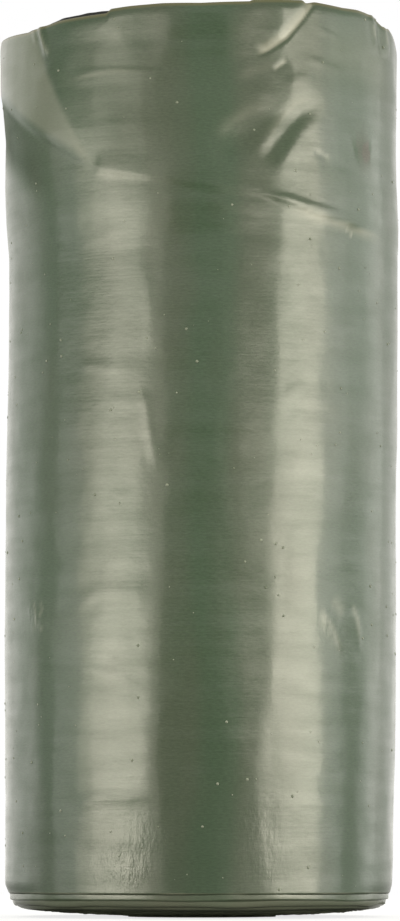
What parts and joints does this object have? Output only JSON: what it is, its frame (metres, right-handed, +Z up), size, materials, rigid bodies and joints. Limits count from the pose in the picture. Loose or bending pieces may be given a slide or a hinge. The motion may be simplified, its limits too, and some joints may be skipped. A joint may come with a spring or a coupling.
{
  "type": "roll of dog poop bags",
  "caption": "Small wound roll of thin green film bags, standing on its end, with a spindle hole through the middle.",
  "frame": {"origin": "on the axis of the spindle hole, at the plane that the roll stands on", "axes": "+Z up along the roll's axis, -Y towards the side that the picture shows, +X to its right"},
  "size_m": [0.0298, 0.0297, 0.0662],
  "materials": {
    "film": "satin, dark sage green polyethylene film"
  },
  "bodies": {
    "root": {"bag_roll": "film"}
  },
  "joints": []
}
